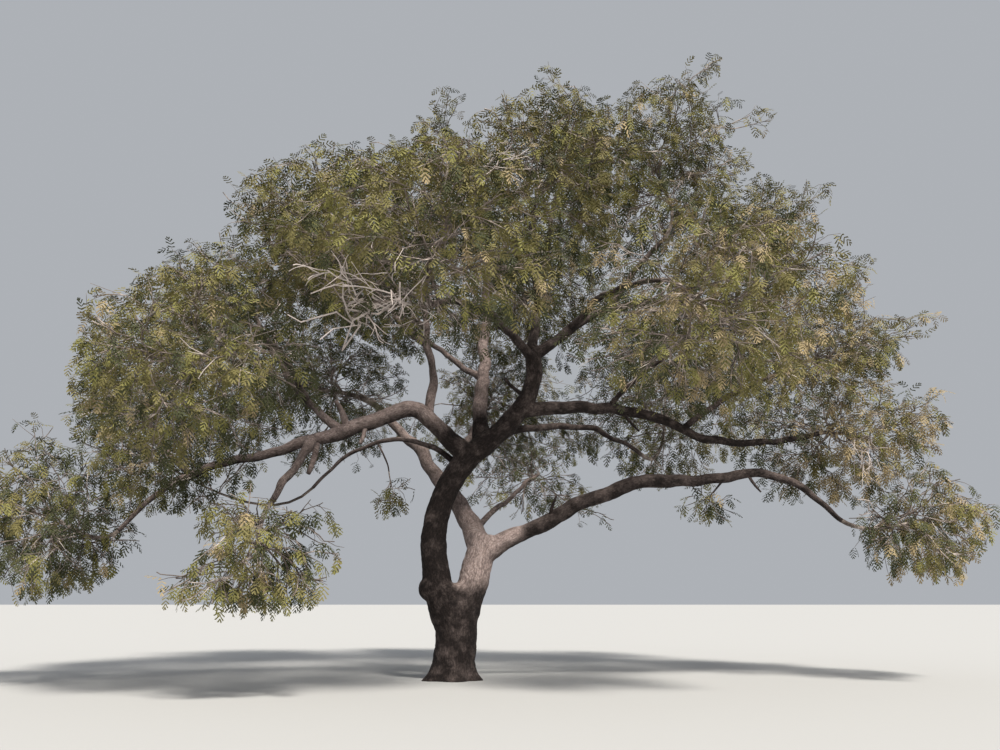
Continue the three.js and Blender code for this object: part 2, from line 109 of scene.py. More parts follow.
# The limbs' middle lines
# The trunk forks low into two stems, and each bough is a tapering limb that leaves its parent at
# a share of the parent's length. In millimetres, with the solids' bends: bow moves the middle of
# a limb off the straight line, and wave bends it to both sides in turn.
MM = 0.001
STEMS = {
    "left_leader": dict(start=(60, 0, 950), tip=(400, -20, 4560), bow=(-600, 0, 0), wave=(40, 0, 0),
                        radius=(270, 240), flare=70, flare_reach=0.8),
    "right_stem": dict(start=(90, 0, 850), tip=(670, 150, 2900), bow=(50, 0, 0), radius=(330, 285), flare=0),
}
BOUGHS = {
    "main_leader": dict(on=("left_leader", 1), tip=(1670, 0, 6800), bow=(500, 0, 0),
                        radius=(240, 165), flare=0),
    "left_bough": dict(on=("left_leader", 0.96), tip=(-2350, -350, 4900), bow=740, wave=150,
                       radius=(195, 150)),
    "left_bough_outer": dict(on=("left_bough", 1), tip=(-6550, -900, 2900), bow=450, wave=-150,
                             radius=(125, 45)),
    "right_low_bough": dict(on=("right_stem", 0.8), tip=(3900, -150, 4000), bow=60,
                            radius=(172, 148), flare=95),
    "right_low_bough_outer": dict(on=("right_low_bough", 1), tip=(8000, -250, 3150), bow=480, wave=-200,
                                  radius=(148, 48), flare=0),
    "back_left_bough": dict(on=("right_stem", 0.85), tip=(-1900, 3200, 6100), bow=(250, 0, 0),
                            radius=(245, 88), flare=20),
    "centre_riser": dict(on=("main_leader", 0.08), tip=(700, 1800, 9000), bow=(0, 200, 0),
                         radius=(170, 85)),
    "right_mid_bough": dict(on=("main_leader", 0.5), tip=(7750, 0, 5000), bow=-50, wave=290,
                            radius=(142, 52)),
    "right_back_bough": dict(on=("main_leader", 0.2), tip=(4300, 2500, 4950), bow=450, radius=(90, 50)),
    "upper_right_bough": dict(on=("main_leader", 0.96), tip=(5300, 200, 7950), bow=450,
                              radius=(115, 55)),
    "top_bough": dict(on=("main_leader", 1), tip=(2150, 500, 9900), bow=(0, 250, 0), radius=(105, 55)),
    "front_bough": dict(on=("main_leader", 0.92), tip=(-250, -3600, 6750), bow=480, radius=(95, 55)),
    "thin_left_bough": dict(on=("left_leader", 0.9), tip=(-3000, 450, 3900), bow=(0, 330, 900),
                            radius=(62, 32)),
    "left_riser": dict(on=("left_bough", 0.36), tip=(-900, 300, 8600), bow=(150, 0, 0), radius=(98, 55)),
    "left_outer_riser": dict(on=("left_bough", 0.97), tip=(-4200, -300, 7400), bow=(-150, 0, -150),
                             radius=(90, 48)),
    "left_outer_bough": dict(on=("left_bough_outer", 0.62), tip=(-6300, -600, 5300), bow=(-100, 0, -100),
                             radius=(60, 42)),
    "droop_bough": dict(on=("left_bough_outer", 0.12), tip=(-3100, -2900, 3250), bow=(0, -200, -100),
                        radius=(98, 58)),
    "left_front_bough": dict(on=("left_outer_riser", 0.35), tip=(-3600, -2900, 6500), bow=200,
                             radius=(68, 45)),
    "left_front_upper_bough": dict(on=("left_riser", 0.6), tip=(-1800, -1400, 8600), bow=-80,
                                   radius=(60, 42)),
    "left_upper_bough": dict(on=("left_riser", 0.5), tip=(-2300, 500, 9200), bow=(-150, 0, -150),
                             radius=(68, 46)),
    "back_left_upper_bough": dict(on=("centre_riser", 0.4), tip=(-1500, 2900, 8500), bow=-100,
                                  radius=(76, 48)),
    "back_mid_bough": dict(on=("back_left_bough", 0.35), tip=(500, 4900, 6200), bow=300,
                           radius=(110, 58)),
    "back_low_bough": dict(on=("back_left_bough", 0.1), tip=(1900, 3100, 4500), bow=100,
                           radius=(66, 40)),
    "top_right_bough": dict(on=("upper_right_bough", 0.5), tip=(4700, 300, 9500), bow=(-100, 0, 0),
                            radius=(78, 48)),
    "right_front_bough": dict(on=("upper_right_bough", 0.25), tip=(4000, -3300, 7300), bow=300,
                              radius=(78, 48)),
    "right_rise_bough": dict(on=("right_mid_bough", 0.55), tip=(7500, 100, 6500), bow=150,
                             radius=(66, 42)),
    "right_inner_bough": dict(on=("right_mid_bough", 0.3), tip=(4500, -900, 6500), bow=60,
                              radius=(58, 40)),
    "front_upper_bough": dict(on=("top_bough", 0.35), tip=(1700, -1800, 8900), bow=100, radius=(66, 44)),
    "right_under_bough": dict(on=("right_low_bough_outer", 0.4), tip=(5500, 220, 3780), bow=(0, 60, 0),
                              radius=(26, 18)),
    "sprig_bough": dict(on=("thin_left_bough", 0.56), tip=(-1380, 420, 4250), bow=(60, 0, 0),
                        radius=(22, 15)),
}
UP = np.array([0.0, 0.0, 1.0])
LINE_POINTS, DRAWN_POINTS = 97, 201  # points kept along a limb, and those it is drawn through
FLARE, FLARE_REACH = 0.22, 0.3  # how much a limb swells at its foot, of its radius and length
NOISE_SEED = 31  # without it, noise_vector would differ from run to run
noise.seed_set(NOISE_SEED)


def bend(value):
    """A bend in metres. A plain number of millimetres is upwards."""
    return (np.array(value, float) if np.ndim(value) else UP * value) * MM


def evenly(points, count):
    """The same line as count points, evenly spaced along it."""
    along = np.concatenate([[0], np.cumsum(np.linalg.norm(np.diff(points, axis=0), axis=1))])
    at = np.linspace(0, along[-1], count)
    return np.stack([np.interp(at, along, points[:, k]) for k in range(3)], axis=1)


def unit(v):
    """The same direction with length 1."""
    return v / np.linalg.norm(v)


class Limb:
    """A limb's middle line, evenly spaced, and its radius along it, in metres."""

    def __init__(self, line, radii):
        self.line, self.radii = line, radii
        self.length = np.linalg.norm(np.diff(line, axis=0), axis=1).sum()

    def at(self, share):
        place = share * (len(self.line) - 1)
        return np.array([np.interp(place, np.arange(len(self.line)), self.line[:, k]) for k in range(3)])

    def heading(self, share):
        return unit(self.at(min(1, share + 0.01)) - self.at(max(0, share - 0.01)))

    def radius(self, share):
        return float(np.interp(share, np.linspace(0, 1, len(self.radii)), self.radii))


COARSE_BEND, FINE_BEND, FINE_SHARE = 0.9, 2.3, 0.5  # bends per metre, and how strong the finer ones are
BEND_BY_LENGTH, MOST_BEND = 0.032, 0.16  # of the limb's length, and metres


def crooked(line, radius):
    """The line with the small bends of old wood, none at its ends."""
    share = np.linspace(0, 1, len(line))
    bends = [noise.noise_vector(Vector(place) * COARSE_BEND)
             + noise.noise_vector(Vector(place) * FINE_BEND) * FINE_SHARE for place in line]
    size = np.clip(BEND_BY_LENGTH * math.dist(line[0], line[-1]), 0.05 + 0.35 * radius, MOST_BEND)
    return line + np.array(bends) * (size * np.sin(np.pi * share) ** 0.6)[:, None]


limbs = {}
for name, spec in {**STEMS, **BOUGHS}.items():
    start = np.array(spec["start"]) * MM if "start" in spec else limbs[spec["on"][0]].at(spec["on"][1])
    tip = np.array(spec["tip"]) * MM
    t = np.linspace(0, 1, DRAWN_POINTS)[:, None]
    line = start + (tip - start) * t + bend(spec["bow"]) * 4 * t * (1 - t)
    line = evenly(line + bend(spec.get("wave", 0)) * np.sin(2 * np.pi * t), LINE_POINTS)
    base, end = spec["radius"]
    if name in BOUGHS and name != "main_leader":
        line = crooked(line, base * MM)
    flare, flare_reach = spec.get("flare", FLARE * base), spec.get("flare_reach", FLARE_REACH)
    share = np.linspace(0, 1, len(line))
    radii = base + (end - base) * share + flare * np.clip(1 - share / flare_reach, 0, None) ** 2
    limbs[name] = Limb(line, radii * MM)


# Trunk, stems and main leader
# One body of old wood with thick, cracked bark, swollen at the fork and where each bough
# leaves it, with a healed wound below the fork and ridges that run out into the roots. It is
# dark brown, darkened below the fork as painted shade, and paler and pinkish on the right-hand
# stem, where sunlight is painted on, with painted light on upper sides.
NOT_UP = (0.3, 0.9, 0.31)  # a direction that no limb takes, from which its sides are counted


def tube_faces(sides, rings):
    """The faces of a closed tube, whose points go round it ring by ring."""
    faces = [
        (i * sides + k, i * sides + (k + 1) % sides, (i + 1) * sides + (k + 1) % sides, (i + 1) * sides + k)
        for i in range(rings)
        for k in range(sides)
    ]
    return faces + [tuple(reversed(range(sides))), tuple(rings * sides + k for k in range(sides))]


def swept(limb, sides, rings, widen=lambda share: 1.0, until=1.0):
    """A closed tube along a limb, as its points and faces."""
    shares = np.linspace(0, until, rings + 1)
    middle = np.array([limb.at(s) for s in shares])
    heading = np.array([limb.heading(s) for s in shares])
    normal = unit(np.cross(heading[0], NOT_UP))
    turns = np.arange(sides) * 2 * np.pi / sides
    points = []
    for place, ahead, s in zip(middle, heading, shares):
        normal = unit(normal - ahead * normal.dot(ahead))
        across = np.cross(ahead, normal)
        r = limb.radius(s) * widen(s)
        points.append(place + r * (np.outer(np.cos(turns), normal) + np.outer(np.sin(turns), across)))
    return np.concatenate(points), tube_faces(sides, rings)


def joined(name, shells):
    """One mesh of several closed shells, each given as points and faces."""
    points, faces, first = [], [], 0
    for shell_points, shell_faces in shells:
        points.append(shell_points)
        faces += [tuple(first + i for i in face) for face in shell_faces]
        first += len(shell_points)
    return mesh_of(name, np.concatenate(points), faces)


# The barrel's radii and heights, and its lean, bow and other measures, in millimetres.
BARREL = [(590, 0), (490, 160), (430, 400), (410, 720), (435, 1150), (480, 1500), (440, 1760), (290, 1910)]
TRUNK_LEAN, TRUNK_BOW, BELOW_GROUND, FORK_HEIGHT = 25, 90, 80, 1950
TRUNK_DEPTH = 0.9  # of its width
ROOT_RISE, ROOT_LOBES, ROOT_RIDGE = 560, 5, 0.13
WOUND, WOUND_RADIUS = (-395, -30, 1800), 275


def barrel_shell(sides=72, rings=60):
    """The trunk's barrel, run on a little below the ground to be cut flat there."""
    widths, heights = np.array(BARREL, float).T
    turns = np.arange(sides) * 2 * np.pi / sides
    points = []
    for z in np.linspace(-BELOW_GROUND, heights[-1], rings + 1):
        foot = max(0, 1 - max(z, 0) / ROOT_RISE) ** 2
        r = np.interp(z, heights, widths) * (1 + ROOT_RIDGE * foot * np.cos(ROOT_LOBES * turns + 0.6))
        axis = TRUNK_LEAN + TRUNK_BOW * math.sin(math.pi * z / FORK_HEIGHT)
        points.append(np.stack([axis + r * np.cos(turns), TRUNK_DEPTH * r * np.sin(turns),
                                np.full(sides, z)], axis=1) * MM)
    return np.concatenate(points), tube_faces(sides, rings)


def lump_shell(centre, radius):
    """A round swelling."""
    ball = bmesh.new()
    bmesh.ops.create_icosphere(ball, subdivisions=3, radius=radius)
    points = np.array([v.co for v in ball.verts]) + centre
    faces = [tuple(v.index for v in face.verts) for face in ball.faces]
    ball.free()
    return points, faces


def remeshed(mesh, voxel, smoothing):
    """The outside of overlapping shells as one smooth skin."""
    holder = new_piece("holder", mesh)
    skin = holder.modifiers.new("skin", "REMESH")
    skin.mode, skin.voxel_size, skin.adaptivity = "VOXEL", voxel, 0
    even = holder.modifiers.new("even", "SMOOTH")
    even.factor, even.iterations = 0.5, smoothing
    made = bpy.data.meshes.new_from_object(holder.evaluated_get(bpy.context.evaluated_depsgraph_get()))
    bpy.data.objects.remove(holder)
    return made


CORE = ("left_leader", "right_stem", "main_leader")
COLLAR = 2.6  # how far out of its parent a bough's foot is part of this piece, in its own radii
VOXEL, SMOOTHING = 0.0176, 14  # metres and rounds
CORE_SIDES, CORE_RINGS, COLLAR_SIDES, COLLAR_RINGS = 40, 60, 28, 20
shells = [barrel_shell(), lump_shell(np.array(WOUND) * MM, WOUND_RADIUS * MM)]
shells += [swept(limbs[name], CORE_SIDES, CORE_RINGS) for name in CORE]
for name, spec in BOUGHS.items():
    if name in CORE or spec["on"][0] not in CORE:
        continue
    child, parent = limbs[name], limbs[spec["on"][0]]
    collar = min(0.9, (parent.radius(spec["on"][1]) + COLLAR * child.radius(0)) / child.length)
    shells.append(swept(child, COLLAR_SIDES, COLLAR_RINGS,
                        lambda s, collar=collar: 1.1 - 0.22 * s / collar, until=collar))
core_mesh = remeshed(joined("core", shells), VOXEL, SMOOTHING)
TRUNK_SAMPLES, SAMPLE_STEP = 30, 0.033  # points up the trunk's middle, and metres between them


def grain_of(mesh, members):
    """For each vertex: its place on the unrolled bark of its limb, the limb's radius and its name."""
    tree = kdtree.KDTree(sum(len(limbs[name].line) for name in members) + TRUNK_SAMPLES)
    samples = []
    for name in members:
        limb = limbs[name]
        normal = np.array(NOT_UP)
        for i, place in enumerate(limb.line):
            ahead = limb.heading(i / (len(limb.line) - 1))
            normal = unit(normal - ahead * normal.dot(ahead))
            step = limb.length / (len(limb.line) - 1)
            samples.append((place, ahead, normal, limb.radii[i], i * step, name))
    for i in range(TRUNK_SAMPLES):
        place = np.array([0.02, 0, i * SAMPLE_STEP])
        samples.append((place, UP, np.array([0.3, 0.95, 0]), 0.45, i * SAMPLE_STEP - 1.0, "trunk"))
    for i, sample in enumerate(samples):
        tree.insert(sample[0], i)
    tree.balance()
    grain, thickness, owners = [], [], []
    for vertex in mesh.vertices:
        _, i, _ = tree.find(vertex.co)
        place, ahead, normal, radius, along, name = samples[i]
        offset = np.array(vertex.co) - place
        across = np.cross(ahead, normal)
        turn = math.atan2(offset.dot(across), offset.dot(normal))
        grain.append((radius * math.cos(turn), radius * math.sin(turn), along + offset.dot(ahead)))
        thickness.append(radius)
        owners.append(name)
    return np.array(grain), np.array(thickness), owners


PLATES_ACROSS, PLATES_ALONG = 15, 5.5  # per metre
CRACK_WIDTH, CRACK_DEPTH, SWELLING = 0.13, 0.009, 0.026  # the last two in metres


def relief(mesh, grain, thickness):
    """Raises the bark's plates, cracks and swellings. Returns how deep in a crack each point is."""
    cracks = []
    normals = [vertex.normal.copy() for vertex in mesh.vertices]
    for vertex, normal, g, r in zip(mesh.vertices, normals, grain, thickness):
        place = Vector((g[0] * PLATES_ACROSS, g[1] * PLATES_ACROSS, g[2] * PLATES_ALONG))
        warp = noise.noise_vector(place * 0.4) * 0.6
        crack = math.exp(-((noise.noise(place + warp) / CRACK_WIDTH) ** 2))
        fine = noise.noise(place * 2.6)
        swell = (noise.noise(vertex.co * 2.1) + 0.6 * noise.noise(vertex.co * 4.7)
                 + 0.25 * noise.noise(vertex.co * 11))
        depth = min(CRACK_DEPTH, 0.03 * r)
        vertex.co += normal * (depth * (0.35 * fine - crack) + min(SWELLING, 0.13 * r) * swell)
        cracks.append(crack)
    mesh.update()
    return np.array(cracks)


PAINTED_SHADOW_EDGE = (1.72, 2.05)  # metres up, the painted edge of the crown's shadow: below it the bark takes the trunk's dark tone as painted shade, and above it that of the stems
# How pale the bark of each limb is, from its dark old kind at 0 to the pale pinkish kind at 1. This is partly
# the bark's own colour and partly painted light: painted sunlight on the right-hand stem and the left boughs,
# painted shade on the trunk and the left leader.
PALENESS_AND_PAINTED_LIGHT = {
    "trunk": 0.03, "left_leader": 0.0, "right_stem": 1.0, "main_leader": 0.02, "left_bough": 0.7,
    "left_bough_outer": 0.55, "right_low_bough": 0.09, "right_low_bough_outer": 0.12,
    "back_left_bough": 0.42, "centre_riser": 0.5, "right_mid_bough": 0.05,
    "right_back_bough": 0.1, "upper_right_bough": 0.12, "top_bough": 0.15, "thin_left_bough": 0.3,
}
OTHER_PALENESS = 0.28
BURIED = 1.8  # how far a limb's foot has its parent's bark, in its own radii, once out of the parent
PARENT_REACH = 0.5  # metres over which it then changes to its own
PAINTED_TOP_LIGHT = 1.1  # painted light: how much paler a bough's upper side is than its flanks, with its underside darker as painted shade


def put_values(mesh, kind, name, values):
    """Stores a value for each point of a mesh, under a name."""
    attribute = mesh.attributes.new(name, kind, "POINT")
    attribute.data.foreach_set("vector" if kind == "FLOAT_VECTOR" else "value", np.ravel(values).astype("f"))


def eased(mesh, values, rounds):
    """Values evened out between neighbouring points."""
    ends = np.zeros(len(mesh.edges) * 2, int)
    mesh.edges.foreach_get("vertices", ends)
    a, b = ends.reshape(-1, 2).T
    links = np.bincount(np.concatenate([a, b]), minlength=len(values))
    for _ in range(rounds):
        total = np.bincount(a, values[b], len(values)) + np.bincount(b, values[a], len(values))
        values = 0.5 * values + 0.5 * total / np.maximum(links, 1)
    return values


def finish_bark(mesh, members, ease):
    """Bark relief, and the values that its material reads."""
    grain, thickness, owners = grain_of(mesh, members)
    pale = np.array([PALENESS_AND_PAINTED_LIGHT.get(owner, OTHER_PALENESS) for owner in owners])
    feet = {}
    for name, spec in BOUGHS.items():
        parent, share = spec["on"]
        feet[name] = parent, limbs[parent].radius(share) + BURIED * limbs[name].radius(0)
    feet = [feet.get(owner, (owner, 0)) for owner in owners]
    foot = np.array([PALENESS_AND_PAINTED_LIGHT.get(parent, OTHER_PALENESS) for parent, _ in feet])
    out = grain[:, 2] - np.array([buried for _, buried in feet])
    pale = foot + (pale - foot) * np.clip(out / PARENT_REACH, 0, 1)
    # Painted shade of the crown: below the shadow edge the bark takes the trunk's dark tone.
    above = np.interp([vertex.co.z for vertex in mesh.vertices], PAINTED_SHADOW_EDGE, (0, 1))
    pale = PALENESS_AND_PAINTED_LIGHT["trunk"] + (pale - PALENESS_AND_PAINTED_LIGHT["trunk"]) * above
    # Painted light on surfaces that face up, and painted shade on those that face down.
    pale *= 1 + PAINTED_TOP_LIGHT * np.array([vertex.normal.z for vertex in mesh.vertices])
    cracks = relief(mesh, grain, thickness)
    put_values(mesh, "FLOAT_VECTOR", "grain", grain)
    put_values(mesh, "FLOAT", "crack", cracks)
    put_values(mesh, "FLOAT", "pale", eased(mesh, pale, ease))
    mesh.polygons.foreach_set("use_smooth", np.ones(len(mesh.polygons), bool))


CORE_EASING = 60  # rounds that even out its paleness
finish_bark(core_mesh, CORE, CORE_EASING)
edit = bmesh.new()
edit.from_mesh(core_mesh)
cut = bmesh.ops.bisect_plane(edit, geom=[*edit.verts, *edit.edges, *edit.faces], plane_co=(0, 0, 0),
                             plane_no=(0, 0, 1), clear_inner=True)
rim = [e for e in cut["geom_cut"] if isinstance(e, bmesh.types.BMEdge)]
bmesh.ops.holes_fill(edit, edges=rim)
bmesh.ops.triangulate(edit, faces=[f for f in edit.faces if len(f.verts) > 4])
edit.to_mesh(core_mesh)
edit.free()


def node(tree, kind, **inputs):
    """Adds a node. Settings are given by name, and inputs as a socket to link or a value."""
    made = tree.nodes.new(kind)
    for key, value in inputs.items():
        if hasattr(made, key):
            setattr(made, key, value)
            continue
        socket = made.inputs[int(key[1:])] if key[0] == "_" else made.inputs[key.replace("_", " ")]
        if isinstance(value, bpy.types.NodeSocket):
            tree.links.new(value, socket)
        else:
            socket.default_value = value
    return made


def ramp(tree, factor, stops):
    """A colour ramp through stops of place and colour."""
    made = node(tree, "ShaderNodeValToRGB", Fac=factor)
    while len(made.color_ramp.elements) < len(stops):
        made.color_ramp.elements.new(0.5)
    for element, (place, colour) in zip(made.color_ramp.elements, stops):
        element.position = place
        element.color = (*colour, 1)
    return made.outputs["Color"]


def bark_pattern():
    """The pattern of all the tree's bark: its plates, cracks and blotches, with painted shade in the cracks
    and between the plates.
    """
    tree = bpy.data.node_groups.new("bark_pattern", "ShaderNodeTree")
    for name, kind in (("Colour", "NodeSocketColor"), ("Roughness", "NodeSocketFloat"),
                       ("Normal", "NodeSocketVector")):
        tree.interface.new_socket(name, in_out="OUTPUT", socket_type=kind)
    for name, value in (("Plates", 34.0), ("Blotches", 3.6), ("Crack Shade", 0.35)):
        tree.interface.new_socket(name, in_out="INPUT", socket_type="NodeSocketFloat").default_value = value
    given = tree.nodes.new("NodeGroupInput")
    place = tree.nodes.new("ShaderNodeTexCoord").outputs["Object"]
    grain = node(tree, "ShaderNodeAttribute", attribute_name="grain").outputs["Vector"]
    pale = node(tree, "ShaderNodeAttribute", attribute_name="pale").outputs["Fac"]
    crack = node(tree, "ShaderNodeAttribute", attribute_name="crack").outputs["Fac"]
    along = node(tree, "ShaderNodeMapping", Vector=grain, Scale=(1, 1, 0.45)).outputs["Vector"]
    blotch = node(tree, "ShaderNodeTexNoise", Vector=place, Scale=given.outputs["Blotches"], Detail=6.0,
                  Roughness=0.62).outputs["Fac"]
    plate = node(tree, "ShaderNodeTexNoise", Vector=along, Scale=given.outputs["Plates"], Detail=8.0,
                 Roughness=0.68, Distortion=0.4).outputs["Fac"]
    wander = node(tree, "ShaderNodeTexNoise", Vector=along, Scale=given.outputs["Plates"], Detail=3.0)
    warped = node(tree, "ShaderNodeMix", data_type="VECTOR", _0=0.03, _4=along, _5=wander.outputs["Color"])
    seam = node(tree, "ShaderNodeTexVoronoi", feature="DISTANCE_TO_EDGE", Vector=warped.outputs[1],
                Scale=given.outputs["Plates"]).outputs["Distance"]
    furrow = node(tree, "ShaderNodeMapRange", Value=seam, _1=0.0, _2=0.16, _3=0.0, _4=1.0).outputs[0]
    shifted = node(tree, "ShaderNodeMath", operation="MULTIPLY_ADD", _0=blotch, _1=0.9, _2=-0.45).outputs[0]
    # How pale the bark is here: the pale values, which hold painted sunlight and shade as well as the bark's
    # own tone, with random blotches.
    paleness = node(tree, "ShaderNodeMath", operation="ADD", use_clamp=True, _0=pale, _1=shifted).outputs[0]
    dark = ramp(tree, plate, [(0.30, (0.007, 0.005, 0.005)), (0.52, (0.020, 0.0145, 0.0135)),
                              (0.74, (0.058, 0.042, 0.038))])
    light = ramp(tree, plate, [(0.28, (0.15, 0.110, 0.100)), (0.5, (0.44, 0.342, 0.318)),
                               (0.72, (0.72, 0.60, 0.565))])
    both = node(tree, "ShaderNodeMix", data_type="RGBA", _0=paleness, _6=dark, _7=light).outputs[2]
    # Painted shade: the cracks and the seams between plates are darkened.
    crack_shade = node(tree, "ShaderNodeMath", operation="MULTIPLY", _0=crack,
                  _1=given.outputs["Crack Shade"]).outputs[0]
    cracked = node(tree, "ShaderNodeMix", data_type="RGBA", _0=crack_shade, _6=both,
                   _7=(0.018, 0.013, 0.012, 1)).outputs[2]
    shade = node(tree, "ShaderNodeMapRange", Value=furrow, _3=0.74, _4=1.0).outputs[0]
    cracked = node(tree, "ShaderNodeMix", data_type="RGBA", blend_type="MULTIPLY", _0=1.0, _6=cracked,
                   _7=shade).outputs[2]
    rough = node(tree, "ShaderNodeMapRange", Value=plate, _3=0.98, _4=0.78).outputs[0]
    height = node(tree, "ShaderNodeMath", operation="MULTIPLY_ADD", _0=furrow, _1=0.5, _2=plate).outputs[0]
    bump = node(tree, "ShaderNodeBump", Height=height, Strength=0.7, Distance=0.012).outputs["Normal"]
    result = tree.nodes.new("NodeGroupOutput")
    for value, socket in zip((cracked, rough, bump), result.inputs):
        tree.links.new(value, socket)
    return tree


BARK_PATTERN = bark_pattern()


def bark_material(name):
    """Bark with the tree's pattern."""
    material = plain_material(name, (0.2, 0.16, 0.14), 0.9)
    tree = material.node_tree
    shader = tree.nodes["Principled BSDF"]
    shader.inputs["Specular IOR Level"].default_value = 0.25
    pattern = node(tree, "ShaderNodeGroup", node_tree=BARK_PATTERN)
    for value, socket in (("Colour", "Base Color"), ("Roughness", "Roughness"), ("Normal", "Normal")):
        tree.links.new(pattern.outputs[value], shader.inputs[socket])
    return material


trunk_piece = new_piece("trunk_bark", core_mesh, bark_material("old_bark"))
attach(trunk_piece, "root")
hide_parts("trunk", *CORE)


# Boughs
# The limbs that leave the stems and the leader, each one tapering length of wood that swells
# at its foot, most with paler bark than the trunk's, partly painted sunlight, with painted light
# on their upper sides and painted shade beneath, and the stubs of branches that broke off.
SPLIT = {"left_bough": "left_bough_outer", "right_low_bough": "right_low_bough_outer"}
RUN_POINTS, RUN_EASING, RUN_REACH = 193, 60, 14  # points, rounds, and points to each side of the bend


def run_on(first, second):
    """Two limbs that follow each other as one, with the bend between them eased."""
    known = np.concatenate([np.linspace(0, first.length, len(first.line)),
                            first.length + np.linspace(0, second.length, len(second.line))[1:]])
    line = evenly(np.concatenate([first.line, second.line[1:]]), RUN_POINTS)
    radii = np.interp(np.linspace(0, known[-1], RUN_POINTS), known,
                      np.concatenate([first.radii, second.radii[1:]]))
    smooth = line.copy()
    for _ in range(RUN_EASING):
        smooth[1:-1] = 0.5 * smooth[1:-1] + 0.25 * (smooth[:-2] + smooth[2:])
    bend_at = (RUN_POINTS - 1) * first.length / known[-1]
    near = np.exp(-((np.arange(RUN_POINTS) - bend_at) / RUN_REACH) ** 2)[:, None]
    return Limb(line + near * (smooth - line), radii)


THICK_SIDES, THIN_SIDES, STEP = 22, 14, 0.05  # faces round a bough, and metres from ring to ring
outer_names = [name for name in BOUGHS if name not in CORE]
bough_shells = []
for name in outer_names:
    if name in SPLIT.values():
        continue
    limb = run_on(limbs[name], limbs[SPLIT[name]]) if name in SPLIT else limbs[name]
    sides = THICK_SIDES if limb.radii[-1] + limb.radii[0] > 0.2 else THIN_SIDES
    bough_shells.append(swept(limb, sides, max(6, int(limb.length / STEP))))

# Stubs of branches: the limb, the share along it, which way, and how long and thick in metres.
STUBS = [
    ("left_bough", 0.24, (0.55, -0.3, 0.8), 0.42, 0.022),
    ("main_leader", 0.62, (-0.85, -0.3, 0.4), 0.45, 0.055),
    ("left_bough", 0.93, (-0.15, -0.2, 1.0), 0.55, 0.070),
    ("left_bough", 0.80, (0.05, -0.4, -0.9), 0.30, 0.060),
    ("left_bough_outer", 0.10, (0.1, -0.3, -1.0), 0.60, 0.065),
    ("right_low_bough_outer", 0.52, (0.3, -0.2, -0.9), 0.35, 0.030),
    ("right_mid_bough", 0.35, (0.4, -0.3, -0.85), 0.40, 0.035),
    ("right_low_bough", 0.45, (0.1, -0.5, 0.85), 0.35, 0.045),
]
STUB_POINTS, STUB_SWEEP = 9, 0.3  # points along it, and how far it sweeps forward, of its length
for name, share, direction, length, radius in STUBS:
    foot, away = limbs[name].at(share), unit(np.array(direction))
    line = foot + np.outer(np.linspace(0, length + limbs[name].radius(share), STUB_POINTS), away)
    line += np.outer(np.linspace(0, 1, STUB_POINTS) ** 2, limbs[name].heading(share)) * STUB_SWEEP * length
    stub = Limb(line, radius * np.linspace(1.15, 0.7, STUB_POINTS))
    bough_shells.append(swept(stub, THIN_SIDES, 12))
bough_mesh = joined("boughs", bough_shells)
BOUGH_EASING = 4
finish_bark(bough_mesh, outer_names, BOUGH_EASING)
bough_piece = new_piece("bough_bark", bough_mesh, bark_material("bough_bark"))
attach(bough_piece, "root")
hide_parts(*outer_names)


